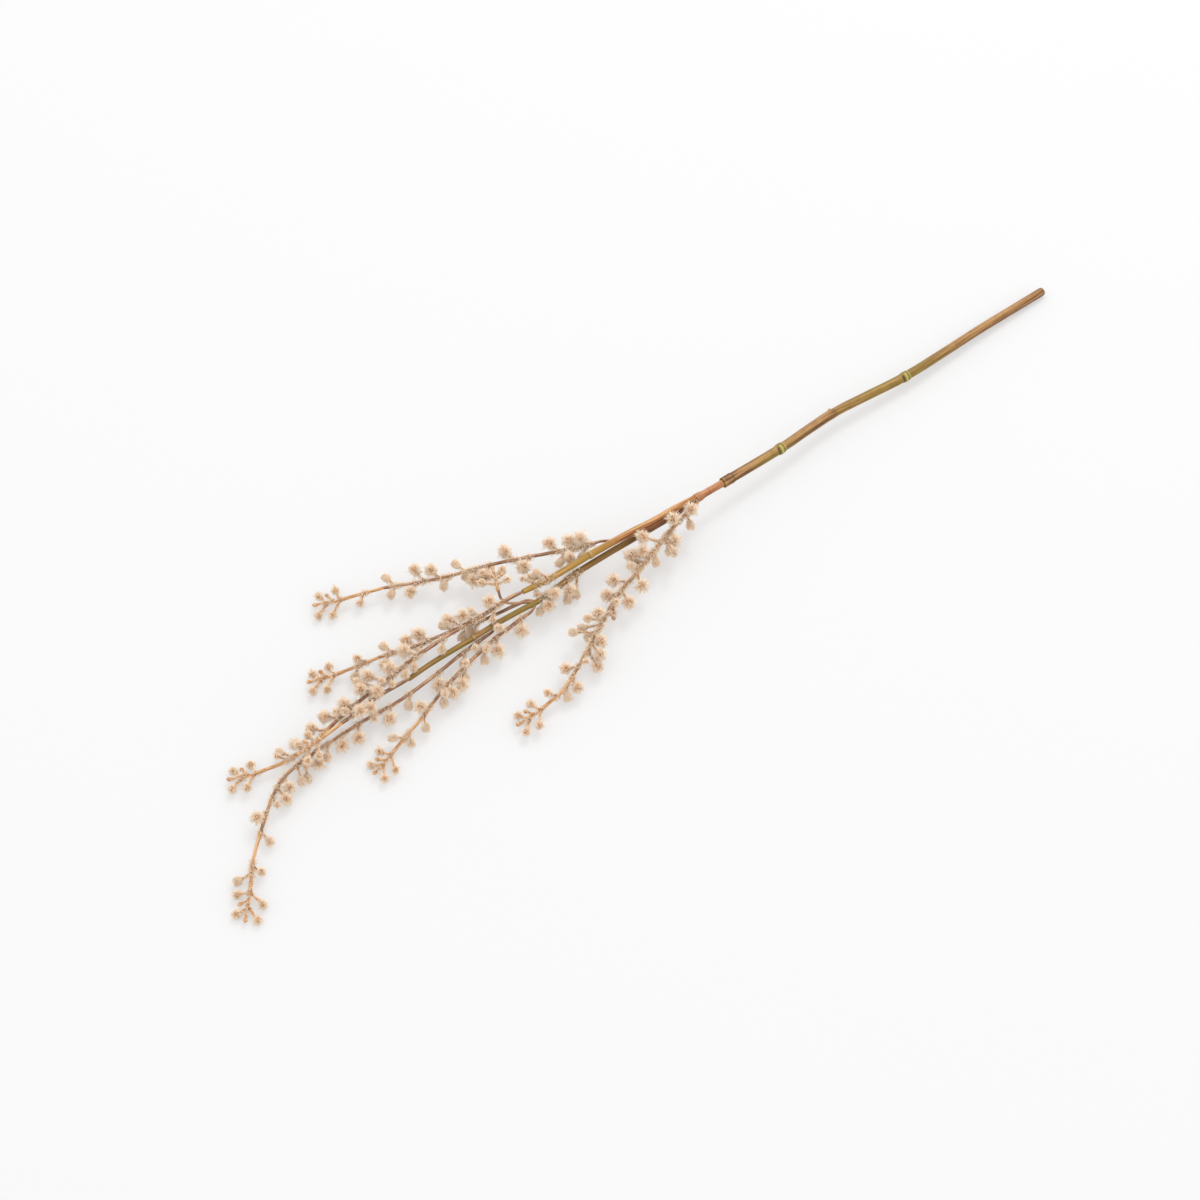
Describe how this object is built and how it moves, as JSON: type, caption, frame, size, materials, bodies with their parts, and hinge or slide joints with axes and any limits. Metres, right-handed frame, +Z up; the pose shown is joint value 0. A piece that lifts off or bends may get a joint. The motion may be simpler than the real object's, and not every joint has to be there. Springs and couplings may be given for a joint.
{
  "type": "artificial willow spray",
  "caption": "Flocked artificial willow spray: a knotted cane that forks into slim sprigs with stalked, fuzzy beige buds, lying flat.",
  "frame": {"origin": "middle of the bounding box, on the surface that the spray lies on", "axes": "+Z up; the long axis lies along X, with the cut end at +X and the sprig tips at -X"},
  "size_m": [0.6614, 0.1624, 0.0257],
  "materials": {
    "cane": "satin moulded cane, brown with olive streaks",
    "neck_red": "satin reddish brown",
    "upper_branch_olive": "golden brown turning olive",
    "lower_branch_brown": "dark red-brown turning olive",
    "sprig_brown": "dull mauve brown",
    "tip_tan": "golden tan",
    "flock": "beige flock fibres over a speckled brown bud"
  },
  "bodies": {
    "root": {"inner_sprig_buds_1": "flock", "inner_sprig_end_spray": "tip_tan", "inner_sprig_stem": "sprig_brown", "inner_sprig_tip": "tip_tan", "left_sprig_buds_1": "flock", "left_sprig_buds_2": "flock", "left_sprig_buds_3": "flock", "left_sprig_end_spray": "tip_tan", "left_sprig_stem": "sprig_brown", "left_sprig_tip": "tip_tan", "lower_branch": "lower_branch_brown", "lower_branch_buds_1": "flock", "lower_branch_buds_2": "flock", "main_stem": "cane", "middle_sprig_buds_1": "flock", "middle_sprig_buds_2": "flock", "middle_sprig_buds_3": "flock", "middle_sprig_end_spray": "tip_tan", "middle_sprig_stem": "sprig_brown", "middle_sprig_tip": "tip_tan", "neck": "neck_red", "right_sprig_buds_1": "flock", "right_sprig_buds_2": "flock", "right_sprig_buds_3": "flock", "right_sprig_buds_4": "flock", "right_sprig_buds_5": "flock", "right_sprig_end_spray": "tip_tan", "right_sprig_stem": "sprig_brown", "right_sprig_tip": "tip_tan", "short_sprig_end_spray": "tip_tan", "short_sprig_stem": "sprig_brown", "top_sprig_buds_1": "flock", "top_sprig_buds_2": "flock", "top_sprig_buds_3": "flock", "top_sprig_buds_4": "flock", "top_sprig_buds_5": "flock", "top_sprig_end_spray": "tip_tan", "top_sprig_stem": "sprig_brown", "top_sprig_tip": "tip_tan", "under_sprig_buds_1": "flock", "under_sprig_buds_2": "flock", "under_sprig_buds_3": "flock", "under_sprig_buds_4": "flock", "under_sprig_buds_5": "flock", "under_sprig_end_spray": "tip_tan", "under_sprig_stem": "sprig_brown", "under_sprig_tip": "tip_tan", "upper_branch": "upper_branch_olive", "upper_branch_buds_1": "flock", "upper_sprig_buds_1": "flock", "upper_sprig_buds_2": "flock", "upper_sprig_buds_3": "flock", "upper_sprig_buds_4": "flock", "upper_sprig_buds_5": "flock", "upper_sprig_end_spray": "tip_tan", "upper_sprig_stem": "sprig_brown", "upper_sprig_tip": "tip_tan"}
  },
  "joints": []
}
